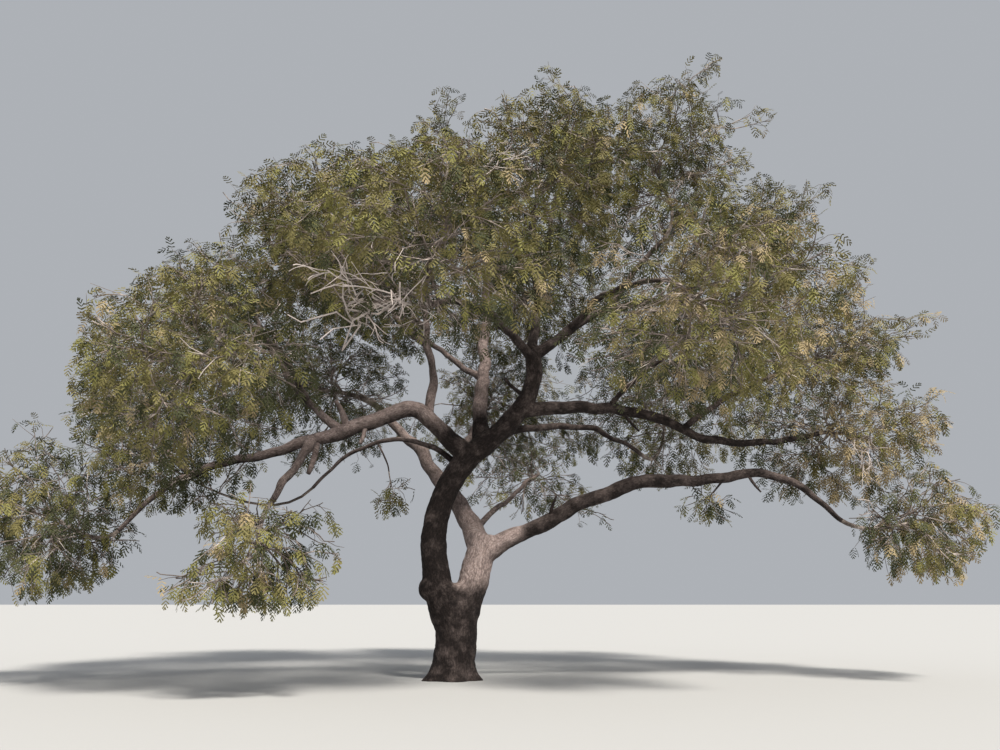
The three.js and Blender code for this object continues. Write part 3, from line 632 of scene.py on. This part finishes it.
# Branches and twigs
# A stem runs from each bough's tip to the middle of its mass, and twigs fan out from it by the
# golden angle. Each carries finer ones by the same rule, down to short shoots with the leaves,
# and all of it keeps to the mass's own space, which the table gives in millimetres.
MASSES = {
    "left_low": dict(on="left_bough_outer", centre=(-7800, -900, 3150), reach=(1950, 2600, 1650),
                     tufts=[(-8500, -900, 5000)]),
    "left_outer": dict(on="left_outer_bough", centre=(-6550, 200, 6150), reach=(1850, 3000, 1800)),
    "left_shoulder": dict(on="left_outer_riser", centre=(-5200, 400, 7850), reach=(2200, 3000, 1950)),
    "left_upper": dict(on="left_upper_bough", centre=(-2900, 700, 9300), reach=(1900, 2800, 1750),
                       tufts=[(-5500, 0, 10650), (-2750, 0, 12000)]),
    "left_front": dict(on="left_front_bough", centre=(-4000, -4400, 5500), reach=(2300, 2900, 1850)),
    "left_front_upper": dict(on="left_front_upper_bough", centre=(-2000, -3100, 8100),
                             reach=(2500, 2700, 1900)),
    "left_back": dict(on="back_left_bough", centre=(-3900, 4300, 6900), reach=(3600, 3300, 2400)),
    "back_left_upper": dict(on="back_left_upper_bough", centre=(-2500, 3800, 9200),
                            reach=(2900, 2900, 2250)),
    "left_under": dict(on="thin_left_bough", centre=(-5950, -800, 4350), reach=(2550, 2300, 1200)),
    "droop": dict(on="droop_bough", centre=(-3050, -3950, 2300), reach=(1750, 1900, 1150)),
    "front": dict(on="front_bough", centre=(0, -5100, 7300), reach=(3000, 2800, 1850)),
    "front_upper": dict(on="front_upper_bough", centre=(1700, -2900, 9150), reach=(2700, 2900, 1850)),
    "top_left": dict(on="left_riser", centre=(-700, 900, 10500), reach=(2100, 2900, 1800),
                     tufts=[(-200, 0, 12700)]),
    "top_mid": dict(on="top_bough", centre=(2650, 700, 11350), reach=(2500, 3000, 1950),
                    tufts=[(2250, 0, 13350)]),
    "top_right": dict(on="top_right_bough", centre=(4600, 500, 11200), reach=(2400, 2900, 2150),
                      tufts=[(5750, 0, 13750), (6900, 0, 12250)]),
    "back_upper": dict(on="centre_riser", centre=(1700, 4300, 9300), reach=(3700, 3100, 2600)),
    "back": dict(on="back_mid_bough", centre=(700, 6000, 6900), reach=(3700, 3000, 2600)),
    "back_low": dict(on="back_low_bough", centre=(1700, 3800, 4500), reach=(2400, 1500, 1100),
                     tufts=[(3400, 2000, 3400)], openness=1.5),
    "right_shoulder": dict(on="upper_right_bough", centre=(6400, 700, 9200), reach=(1900, 3000, 2050),
                           tufts=[(8200, 0, 10500)]),
    "right_upper_outer": dict(on="right_rise_bough", centre=(8000, 500, 6750), reach=(1900, 3000, 1750),
                              tufts=[(8900, 0, 8750), (10250, 0, 7550)]),
    "right_outer": dict(on="right_mid_bough", centre=(8200, 500, 5050), reach=(2450, 2800, 1700)),
    "right_low": dict(on="right_low_bough_outer", centre=(9500, -400, 3150), reach=(1600, 2500, 1350)),
    "right_inner": dict(on="right_inner_bough", centre=(5200, -1200, 6900), reach=(2600, 2600, 2100),
                        openness=1.2),
    "right_front": dict(on="right_front_bough", centre=(4300, -4600, 6400), reach=(2900, 2900, 1950),
                        openness=1.2),
    "right_back": dict(on="right_back_bough", centre=(5300, 4500, 6700), reach=(3500, 3300, 2700)),
    "right_under": dict(on="right_under_bough", centre=(5450, 350, 3600),
                        reach=(1050, 800, 520), twigs=2),
    "sprig": dict(on="sprig_bough", centre=(-1250, 350, 3750), reach=(620, 500, 620), twigs=2),
}
SEED = 104729
GOLDEN_ANGLE = math.pi * (3 - math.sqrt(5))
CROWN_HEART = np.array([0.5, 0, 5.2])  # what the masses face away from
FAN_START, FAN_SWEEP = math.radians(10), math.radians(162)
TWIGS_PER_MASS = 10
# Metres: round a tuft, the crown's top, between two masses, a mass's usual reach, a leaf's length.
TUFT_RADIUS, CROWN_TOP, CELL_MARGIN, USUAL_REACH, LEAF = 0.42, 13.85, 0.025, 2.1, 0.23
# Where a mass's ragged edge lies, as a share of its reach, and how far and finely that wanders.
EDGE, COARSE_WANDER, COARSE_FREQUENCY, FINE_WANDER, FINE_FREQUENCY = 0.89, 0.20, 0.8, 0.15, 2.3
# Where the sky shows between sprays or cuts into the outline, each as centre and reach in metres.
SKY_PLACES = [((-3.4, 0.5, 11.35), (1.0, 4.0, 0.42)), ((8.55, 0.5, 9.5), (0.6, 4.0, 0.5)),
              ((6.6, 0.5, 11.7), (0.7, 4.0, 0.35)), ((0.65, 0.5, 12.6), (0.5, 4.0, 0.4)),
              ((-6.9, 0.2, 8.75), (0.5, 4.0, 0.3)), ((-0.5, 3.4, 6.6), (0.75, 1.6, 0.55)),
              ((-0.8, 6.2, 7.2), (0.9, 2.2, 0.6))]
# Where sprays have lost most of their leaves, so that pale twigs show, as centre and reach.
BARE_PLACES = [((-1.3, -6.2, 5.80), (1.45, 1.7, 0.80)), ((8.0, -1.6, 3.95), (1.0, 2.0, 0.75)),
               ((-3.6, -6.4, 4.9), (0.6, 0.6, 0.6)), ((-6.7, -2.8, 2.5), (0.6, 0.6, 0.6)),
               ((3.2, -6.8, 5.6), (0.5, 0.5, 0.5)), ((1.2, -5.6, 8.6), (0.5, 0.5, 0.5))]
LEFT_ON = 0.12  # share of the tufts that are left there
# Boughs with branchlets of their own, and how far off the masses are that these may reach.
BRANCHING = ("right_mid_bough", "right_back_bough", "upper_right_bough", "left_riser", "centre_riser",
             "left_bough_outer", "front_bough", "left_outer_riser", "right_low_bough_outer")
NEIGHBOURS, BRANCHLET_SCALE = 5.5, 0.8
# Dead branches: the bough, the share along it, and the tip.
DEAD_BRANCHES = [("front_bough", 0.85, (-2250, -6100, 5800)), ("front_bough", 0.70, (-1700, -6300, 5350)),
                 ("front_bough", 0.95, (-1750, -6300, 6450)), ("front_bough", 0.80, (-600, -6600, 5850)),
                 ("front_bough", 0.90, (-1950, -5900, 6200))]


def random_source(seed):
    """A seeded source of even random numbers from 0 to 1."""
    state = seed & 0xFFFFFFFF

    def draw():
        nonlocal state
        state = (state * 1664525 + 1013904223) & 0xFFFFFFFF
        return state / 4294967296

    return draw


class Space:
    """What a mass keeps to: its ellipsoid and a sleeve round each tuft, inside the planes that
    part it from its neighbours."""

    def __init__(self, name):
        mass = MASSES[name]
        self.centre, self.reach = np.array(mass["centre"]) * MM, np.array(mass["reach"]) * MM
        self.tufts = [np.array(tip) * MM for tip in mass.get("tufts", [])]
        self.facing = unit(self.centre - CROWN_HEART)
        normals, limits = [], []
        for other, its in MASSES.items():
            if other == name:
                continue
            away = np.array(its["centre"]) * MM - self.centre
            gap = np.linalg.norm(away)
            ours, theirs = self.reach.mean(), np.mean(its["reach"]) * MM
            part = 0.5 + (ours**2 - theirs**2) / (2 * gap * gap)
            normals.append(away / gap)
            limits.append(gap * part - CELL_MARGIN)
        self.normals, self.limits = np.array(normals), np.array(limits)

    def holds(self, points):
        """Whether each of the points is inside."""
        offset = np.atleast_2d(points) - self.centre
        ragged = [EDGE + COARSE_WANDER * noise.noise(Vector(point) * COARSE_FREQUENCY)
                  + FINE_WANDER * noise.noise(Vector(point) * FINE_FREQUENCY)
                  for point in np.atleast_2d(points)]
        within = np.sqrt(((offset / self.reach) ** 2).sum(1)) <= ragged
        for tip in self.tufts:
            arm = tip - self.centre
            share = np.clip(offset @ arm / arm.dot(arm), 0, 1)[:, None]
            within |= np.linalg.norm(offset - share * arm, axis=1) <= TUFT_RADIUS
        within &= np.atleast_2d(points)[:, 2] < CROWN_TOP
        for spot, reach in SKY_PLACES:
            within &= (((np.atleast_2d(points) - spot) / reach) ** 2).sum(1) > 1
        return within & (offset @ self.normals.T <= self.limits).all(1)

    def room(self, direction):
        """How far it is from the centre to the wall in a direction."""
        toward = self.normals @ direction
        walls = self.limits[toward > 0] / toward[toward > 0]
        return min(1 / np.linalg.norm(direction / self.reach), walls.min(initial=np.inf))


class Crown:
    """The spaces of several masses as one, for what grows across them."""

    def __init__(self, names):
        self.spaces = [Space(name) for name in names]
        first = self.spaces[0]
        self.centre, self.reach, self.facing = first.centre, first.reach, first.facing

    def holds(self, points):
        return np.any([space.holds(points) for space in self.spaces], axis=0)


CROOK, CROOKS = 0.28, 2.4  # how far a twig strays from its arch, of its length, and crooks per metre


def arched(start, heading, target, arch, points):
    """A twig's line, which starts out along heading and bends, with small crooks, to its target."""
    length = np.linalg.norm(target - start)
    middle = (start + target) / 2 + heading * arch * length
    t = np.linspace(0, 1, points)[:, None]
    line = (1 - t) ** 2 * start + 2 * t * (1 - t) * middle + t * t * target
    crooks = np.array([noise.noise_vector(Vector(place) * CROOKS) for place in line])
    return line + crooks * CROOK * length * np.sqrt(t * (1 - t))


# Each order of twig: how many its parent carries, from which share of it on, how long and thick.
ORDERS = [
    dict(count=9, first=0.20, length=1.25, radius=(0.015, 0.008), lean=1.0, points=6, droop=0.05),
    dict(count=8, first=0.14, length=0.55, radius=(0.007, 0.004), lean=0.9, points=3, droop=0.15),
]
LAST_SHARE = 0.98  # where the last twig leaves its parent
SIZES_TRIED = (1, 0.72, 0.5, 0.33)
TWIG_ARCH, DEAD_POINTS = 0.14, 8
ELBOW_ROOM = (0.18, 0.32)  # least distance between two tufts of leaves, in a spray and between sprays
SPRAY_SIZE = 1.1  # metres
INNER_THINNING = 0.8  # how much further apart the tufts are on the shaded side, towards the heart
BARE_GIRTH = 1.2  # how much thicker the twigs in the bare places are
branches, twigs, shoots, bare, leaves = [], [], [], [], []


def within_any(point, places):
    """Whether a point is inside any of the places, each given as centre and reach."""
    return any(sum(((p - c) / r) ** 2 for p, c, r in zip(point, spot, reach)) < 1 for spot, reach in places)


def carry(parent, order, space, scale, random, weep, mass, tufts):
    """Grows twigs of one order along a parent, and finer ones or leaves on each in turn. A twig
    that would leave the space is drawn smaller or left out. Returns whether anything grew."""
    rule = ORDERS[order]
    points = DEAD_POINTS if mass == "dead" else rule["points"]
    turn = random() * 2 * math.pi
    grew = False
    for k in range(rule["count"]):
        share = rule["first"] + (LAST_SHARE - rule["first"]) * k / (rule["count"] - 1)
        heading, start = parent.heading(share), parent.at(share)
        last = k == rule["count"] - 1
        lean = (0.12 if last else rule["lean"] * (1.15 - 0.45 * share)) + 0.25 * (random() - 0.5)
        azimuth = turn + k * GOLDEN_ANGLE + 0.5 * random()
        side = unit(np.cross(heading, UP) + 1e-6)
        over = np.cross(side, heading)
        out = side * math.cos(azimuth) + over * math.sin(azimuth) * 0.8
        droop = rule["droop"] + weep * (order + 1)
        direction = unit(heading * math.cos(lean) + out * math.sin(lean) - UP * droop)
        length = rule["length"] * scale * (1.15 - 0.4 * share) * (0.75 + 0.5 * random())
        for size in SIZES_TRIED:
            line = arched(start, heading, start + direction * length * size, TWIG_ARCH, points)
            if space.holds(line[1:]).all():
                break
        else:
            continue
        base, end = rule["radius"]
        twig = Limb(line, np.linspace(min(parent.radius(share) * 0.8, base), end, len(line)))
        if order + 1 < len(ORDERS):
            fed = carry(twig, order + 1, space, scale, random, weep, mass, tufts)
        else:
            fed = leaf_out(twig, 1.0, 6, space, random, weep, mass, tufts)
            fed = leaf_out(twig, 0.5, 3, space, random, weep, mass, tufts) or fed
        if fed and within_any(twig.at(0.5), BARE_PLACES):
            bare.append(Limb(line, twig.radii * BARE_GIRTH))
        elif fed:
            (twigs, shoots)[order].append(twig)
        grew = grew or fed
    return grew


def leaf_out(twig, share, count, space, random, weep, mass, tufts):
    """Puts a tuft of leaves round a place on a twig, unless it would crowd another."""
    place, heading = twig.at(share), twig.heading(share)
    spread = 0.5 + 0.9 * noise.noise(Vector(place) / SPRAY_SIZE)
    room = ELBOW_ROOM[0] + (ELBOW_ROOM[1] - ELBOW_ROOM[0]) * min(1, max(0, spread))
    depth = (space.centre - place).dot(space.facing) / space.reach.mean()
    room *= MASSES.get(mass, {}).get("openness", 1) * (1 + INNER_THINNING * min(1, max(0, depth)))
    if tufts and np.linalg.norm(np.array(tufts) - place, axis=1).min() < room:
        return False
    if mass == "dead" or within_any(place, BARE_PLACES) and random() > LEFT_ON:
        tufts.append(place)
        return True
    side = unit(np.cross(heading, UP) + 1e-6)
    over = np.cross(side, heading)
    spray, turn = random(), random() * 2 * math.pi
    grew = False
    for k in range(count):
        root = twig.at(share - 0.06 * k)
        lean = 0.30 + 1.0 * k / count + 0.3 * random()
        azimuth = turn + k * GOLDEN_ANGLE
        out = side * math.cos(azimuth) + over * math.sin(azimuth)
        droop = 0.30 + weep + 0.2 * random()
        direction = unit(heading * math.cos(lean) + out * math.sin(lean) - UP * droop)
        size = LEAF * (0.75 + 0.4 * random())
        if space.holds(np.array([root, root + direction * size * 0.9])).all():
            leaves.append((root, direction, size, spray, mass, random(), depth))
            grew = True
    if grew:
        tufts.append(place)
    return grew


STEM_POINTS, TWIG_POINTS, TWIG_TIP = 13, 10, 0.010
WEEPS_BELOW, WEEP = 5.2, 0.30  # the lower a mass, the more its twigs hang
for index, (mass, spec) in enumerate(MASSES.items()):
    random = random_source(SEED * (index + 1))
    bough, space = limbs[spec["on"]], Space(mass)
    heading, start, centre = bough.heading(1), bough.at(1), space.centre
    t = np.linspace(0, 1, STEM_POINTS)[:, None]
    middle = start + heading * 0.4 * math.dist(start, centre)
    stem_line = evenly((1 - t) ** 2 * start + 2 * t * (1 - t) * middle + t * t * centre, STEM_POINTS)
    stem = Limb(stem_line, bough.radius(1) * np.linspace(1.0, 0.5, STEM_POINTS))
    branches.append(stem)
    facing = space.facing
    sideways = unit(np.cross(UP, facing))
    upright = np.cross(facing, sideways)
    weep = WEEP * np.clip((WEEPS_BELOW - centre[2]) / 3, 0, 1)
    scale = min(1.15, space.reach.mean() / USUAL_REACH)
    count = spec.get("twigs", TWIGS_PER_MASS)
    targets = []
    for i in range(count):
        polar = FAN_START + FAN_SWEEP * (i + 0.5) / count
        azimuth = i * GOLDEN_ANGLE + 0.6 * random()
        direction = (facing * math.cos(polar) + sideways * math.sin(polar) * math.cos(azimuth)
                     + upright * math.sin(polar) * math.sin(azimuth))
        targets.append((centre + direction * space.room(direction) * (0.72 + 0.14 * random()),
                        0.97 - 0.42 * i / count))
    for tip in space.tufts:
        targets.append((centre + (tip - centre) * (1 - 0.3 / math.dist(tip, centre)), 0.99))
    tufts = []
    for target, share in targets:
        line = arched(stem.at(share), stem.heading(share), target, 0.16, TWIG_POINTS)
        twig = Limb(line, np.linspace(0.55 * stem.radius(share), TWIG_TIP, TWIG_POINTS))
        branches.append(twig)
        carry(twig, 0, space, scale, random, weep, mass, tufts)
    carry(stem, 0, space, scale, random, weep, mass, tufts)
    if spec["on"] in BRANCHING:
        near = [name for name, its in MASSES.items()
                if name != mass and math.dist(np.array(its["centre"]) * MM, bough.at(0.6)) < NEIGHBOURS]
        carry(bough, 0, Crown([mass, *near]), BRANCHLET_SCALE, random, weep, mass, tufts)


# Bare dead branches among the foliage at the front.
DEAD_LINE, DEAD_RADIUS = 12, 0.026
random = random_source(SEED)
crown = Crown(["front", "left_front", "left_front_upper"])
for name, share, tip in DEAD_BRANCHES:
    bough = limbs[name]
    line = arched(bough.at(share), bough.heading(share), np.array(tip) * MM, 0.2, DEAD_LINE)
    twig = Limb(line, np.linspace(DEAD_RADIUS, TWIG_TIP, DEAD_LINE))
    bare.append(twig)
    carry(twig, 0, crown, BRANCHLET_SCALE, random, 0.0, "dead", [])


def wood_tree():
    """Geometry Nodes that give lines of wood their thickness."""
    tree = bpy.data.node_groups.new("wood_from_lines", "GeometryNodeTree")
    tree.interface.new_socket("Geometry", in_out="OUTPUT", socket_type="NodeSocketGeometry")
    tree.interface.new_socket("Geometry", in_out="INPUT", socket_type="NodeSocketGeometry")
    tree.interface.new_socket("Sides", in_out="INPUT", socket_type="NodeSocketInt").default_value = 3
    tree.interface.new_socket("Bark", in_out="INPUT", socket_type="NodeSocketMaterial")
    given = tree.nodes.new("NodeGroupInput").outputs
    lines = node(tree, "GeometryNodeMeshToCurve", Mesh=given["Geometry"]).outputs["Curve"]
    thickness = node(tree, "GeometryNodeInputNamedAttribute", data_type="FLOAT", Name="thickness").outputs[0]
    section = node(tree, "GeometryNodeCurvePrimitiveCircle", Resolution=given["Sides"], Radius=1.0).outputs[0]
    wood = node(tree, "GeometryNodeCurveToMesh", Curve=lines, Profile_Curve=section, Scale=thickness,
                Fill_Caps=True).outputs[0]
    wood = node(tree, "GeometryNodeRealizeInstances", Geometry=wood).outputs[0]
    wood = node(tree, "GeometryNodeSetMaterial", Geometry=wood, Material=given["Bark"]).outputs[0]
    tree.links.new(wood, tree.nodes.new("NodeGroupOutput").inputs[0])
    return tree


def grown(name, mesh, tree, **values):
    """A plain mesh object that a Geometry Nodes tree makes from a mesh."""
    source = new_piece(name + "_source", mesh)
    modifier = source.modifiers.new("grow", "NODES")
    modifier.node_group = tree
    for item in tree.interface.items_tree:
        key = item.name.replace(" ", "_")
        if item.in_out == "INPUT" and key in values:
            modifier[item.identifier] = values[key]
    made = bpy.data.meshes.new_from_object(source.evaluated_get(bpy.context.evaluated_depsgraph_get()))
    bpy.data.objects.remove(source)
    return new_piece(name, made)


def line_mesh(name, wood):
    """The middle lines of lengths of wood as one mesh of edges, with their thickness."""
    points = np.concatenate([piece.line for piece in wood])
    ends = np.cumsum([len(piece.line) for piece in wood])
    breaks = set(ends.tolist())
    edges = [(i, i + 1) for i in range(len(points) - 1) if i + 1 not in breaks]
    mesh = mesh_of(name, points, edges=edges)
    put_values(mesh, "FLOAT", "thickness", np.concatenate([piece.radii for piece in wood]))
    return mesh


def twig_material():
    """Pale grey-brown young bark, mottled along its length."""
    material = plain_material("twig_bark", (0.3, 0.25, 0.21), 0.85)
    tree = material.node_tree
    place = tree.nodes.new("ShaderNodeTexCoord").outputs["Object"]
    mottle = node(tree, "ShaderNodeTexNoise", Vector=place, Scale=2.2, Detail=5.0,
                  Roughness=0.7).outputs["Fac"]
    colour = ramp(tree, mottle, [(0.40, (0.085, 0.066, 0.057)), (0.54, (0.24, 0.195, 0.172)),
                                 (0.66, (0.70, 0.61, 0.565))])
    tree.links.new(colour, tree.nodes["Principled BSDF"].inputs["Base Color"])
    return material


WOOD = wood_tree()
twig_bark = twig_material()
BARE_COLOUR = (0.56, 0.49, 0.46)
bare_bark = plain_material("bare_bark", BARE_COLOUR, 0.85)
mass_nodes = [mass + "_mass" for mass in MASSES]
FINE_WOOD = (("branches", branches, 6, twig_bark), ("twigs", twigs, 4, twig_bark),
             ("shoots", shoots, 3, twig_bark), ("bare_twigs", bare, 4, bare_bark))
for name, wood, sides, material in FINE_WOOD:
    piece = grown(name, line_mesh(name, wood), WOOD, Sides=sides, Bark=material)
    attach(piece, "root")
    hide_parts(*mass_nodes)


# Leaves
# Feathery leaves with a bare stalk and paired pinnae, each pinna one narrow blade for its many
# tiny leaflets. They hang from the shoots in sprays, and each spray has one plain colour: olive
# for most, deep green low on the left and, as painted shade, on the inner side of each mass,
# fresh green in places, tan on the right.
PAIRS = 4
PINNA_LENGTH, PINNA_WIDTH, STALK = 0.46, 0.054, 0.2  # of the leaf's length
LEAF_SHAPES = ((0.28, 1.0, 0.04), (0.5, 0.85, -0.06), (0.15, 1.1, 0.08))  # sag, spread and twist


def leaf_mesh(name, sag, spread, twist):
    """One leaf of unit length along +Y, which sags towards its tip."""
    points, faces = [], []
    for k in range(PAIRS):
        share = k / (PAIRS - 1)
        y = STALK + 0.76 * share
        root = np.array([twist * y * y, y * (1 - 0.25 * sag * y), -sag * y * y])
        length = PINNA_LENGTH * (0.62 + 1.35 * share * (1 - share) + 0.12 * (1 - share))
        angle = math.radians(68 - 42 * share)
        for hand in (-1, 1):
            ahead = unit(np.array([hand * math.sin(angle) * spread, math.cos(angle),
                                   -0.22 - 0.5 * sag * share]))
            wide = unit(np.cross(ahead, UP)) * PINNA_WIDTH
            first = len(points)
            tip = root + ahead * length - UP * 0.03
            points += [root - wide * 0.6, root + wide * 0.6, tip + wide - ahead * 0.05, tip - wide]
            faces.append(tuple(range(first, first + 4)))
    return mesh_of(name, points, faces)


leaf_forms = [new_piece(f"leaf_form_{i}", leaf_mesh(f"leaf_form_{i}", *shape))
              for i, shape in enumerate(LEAF_SHAPES)]


def leaf_tree():
    """Geometry Nodes that put leaves on points, each turned and sized as its point says."""
    tree = bpy.data.node_groups.new("leaves_on_points", "GeometryNodeTree")
    tree.interface.new_socket("Geometry", in_out="OUTPUT", socket_type="NodeSocketGeometry")
    tree.interface.new_socket("Geometry", in_out="INPUT", socket_type="NodeSocketGeometry")
    for i in range(len(leaf_forms)):
        tree.interface.new_socket(f"Leaf {i}", in_out="INPUT", socket_type="NodeSocketObject")
    tree.interface.new_socket("Seed", in_out="INPUT", socket_type="NodeSocketInt").default_value = 1
    tree.interface.new_socket("Colour", in_out="INPUT", socket_type="NodeSocketMaterial")
    given = tree.nodes.new("NodeGroupInput").outputs
    forms = tree.nodes.new("GeometryNodeJoinGeometry")
    for i in reversed(range(len(leaf_forms))):
        form = node(tree, "GeometryNodeObjectInfo", Object=given[f"Leaf {i}"], As_Instance=True)
        tree.links.new(form.outputs["Geometry"], forms.inputs[0])
    pick = node(tree, "FunctionNodeRandomValue", data_type="INT", _4=0, _5=len(leaf_forms) - 1,
                Seed=given["Seed"]).outputs[2]
    turn = node(tree, "GeometryNodeInputNamedAttribute", data_type="QUATERNION", Name="turn")
    size = node(tree, "GeometryNodeInputNamedAttribute", data_type="FLOAT", Name="size").outputs[0]
    turned = next(o for o in turn.outputs if o.enabled and o.name == "Attribute")
    placed = node(tree, "GeometryNodeInstanceOnPoints", Points=given["Geometry"], Instance=forms.outputs[0],
                  Pick_Instance=True, Instance_Index=pick, Rotation=turned, Scale=size).outputs[0]
    placed = node(tree, "GeometryNodeRealizeInstances", Geometry=placed).outputs[0]
    placed = node(tree, "GeometryNodeSetMaterial", Geometry=placed, Material=given["Colour"]).outputs[0]
    tree.links.new(placed, tree.nodes.new("NodeGroupOutput").inputs[0])
    return tree


TINTS = {
    "olive": (0.176, 0.156, 0.064),
    "deep": (0.066, 0.072, 0.036),
    "fresh": (0.200, 0.190, 0.066),
    "tan": (0.330, 0.262, 0.152),
}
# The share of each mass's sprays that have each tint, in the order above.
TINT_SHARES = {
    "right_outer": (0.30, 0.10, 0.20, 0.40), "right_low": (0.30, 0.15, 0.20, 0.35),
    "right_upper_outer": (0.40, 0.15, 0.20, 0.25), "right_inner": (0.44, 0.14, 0.27, 0.15),
    "right_front": (0.44, 0.14, 0.27, 0.15), "droop": (0.36, 0.20, 0.40, 0.04),
    "left_low": (0.34, 0.44, 0.20, 0.02), "left_under": (0.34, 0.44, 0.20, 0.02),
    "left_outer": (0.42, 0.38, 0.18, 0.02), "left_shoulder": (0.42, 0.38, 0.18, 0.02),
    "left_back": (0.40, 0.50, 0.10, 0.00), "back_low": (0.40, 0.50, 0.10, 0.00),
}
USUAL_SHARES = (0.50, 0.24, 0.22, 0.04)
SHADED_FROM, SHADED_SHARE = 0.15, 0.75  # painted shade: how far in sprays turn deep green, and how many of them
DRY_PLACES = [((2.5, -5.3, 7.9), 0.5), ((8.0, -2.4, 5.3), 0.9)]  # where every spray is tan
LEAF_LEAN, LEAF_ROUGHNESS, LEAF_SPECULAR = 1.1, 0.62, 0.12
MOST_TRIANGLES = 190000  # in one piece


def turn_of(direction, lean):
    """The turn that points a leaf along direction with its face up, and leans it to one side."""
    y = Vector(direction)
    x = y.cross(Vector((0, 0, 1))).normalized()
    upright = Matrix((x, y, x.cross(y))).transposed().to_quaternion()
    return upright @ Matrix.Rotation(lean, 3, "Y").to_quaternion()


LEAF_TREE = leaf_tree()
MOST_IN_PIECE = MOST_TRIANGLES // (4 * PAIRS)
by_tint = {tint: [] for tint in TINTS}
for root, direction, size, spray, mass, chance, depth in leaves:
    shares = np.cumsum(TINT_SHARES.get(mass, USUAL_SHARES))
    tint = list(TINTS)[min(int(np.searchsorted(shares, spray)), len(TINTS) - 1)]
    if any(math.dist(root, spot) < reach for spot, reach in DRY_PLACES):
        tint = "tan"
    # Sprays on the inner side of a mass take the deep green tint as painted shade.
    elif depth > SHADED_FROM and spray < SHADED_SHARE:
        tint = "deep"
    by_tint[tint].append((root, size, turn_of(direction, LEAF_LEAN * (chance - 0.5))))
for tint, colour in TINTS.items():
    material = plain_material(tint + "_leaf", colour, LEAF_ROUGHNESS)
    material.node_tree.nodes["Principled BSDF"].inputs["Specular IOR Level"].default_value = LEAF_SPECULAR
    for part in range(0, len(by_tint[tint]), MOST_IN_PIECE):
        chosen = by_tint[tint][part:part + MOST_IN_PIECE]
        name = f"{tint}_leaves_{part // MOST_IN_PIECE + 1}"
        points = mesh_of(name, [leaf[0] for leaf in chosen])
        put_values(points, "FLOAT", "size", [leaf[1] for leaf in chosen])
        put_values(points, "QUATERNION", "turn", [tuple(leaf[2]) for leaf in chosen])
        forms = {f"Leaf_{i}": form for i, form in enumerate(leaf_forms)}
        piece = grown(name, points, LEAF_TREE, Seed=part + 7, Colour=material, **forms)
        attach(piece, "root")
        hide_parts(*mass_nodes)
for form in leaf_forms:
    bpy.data.objects.remove(form)
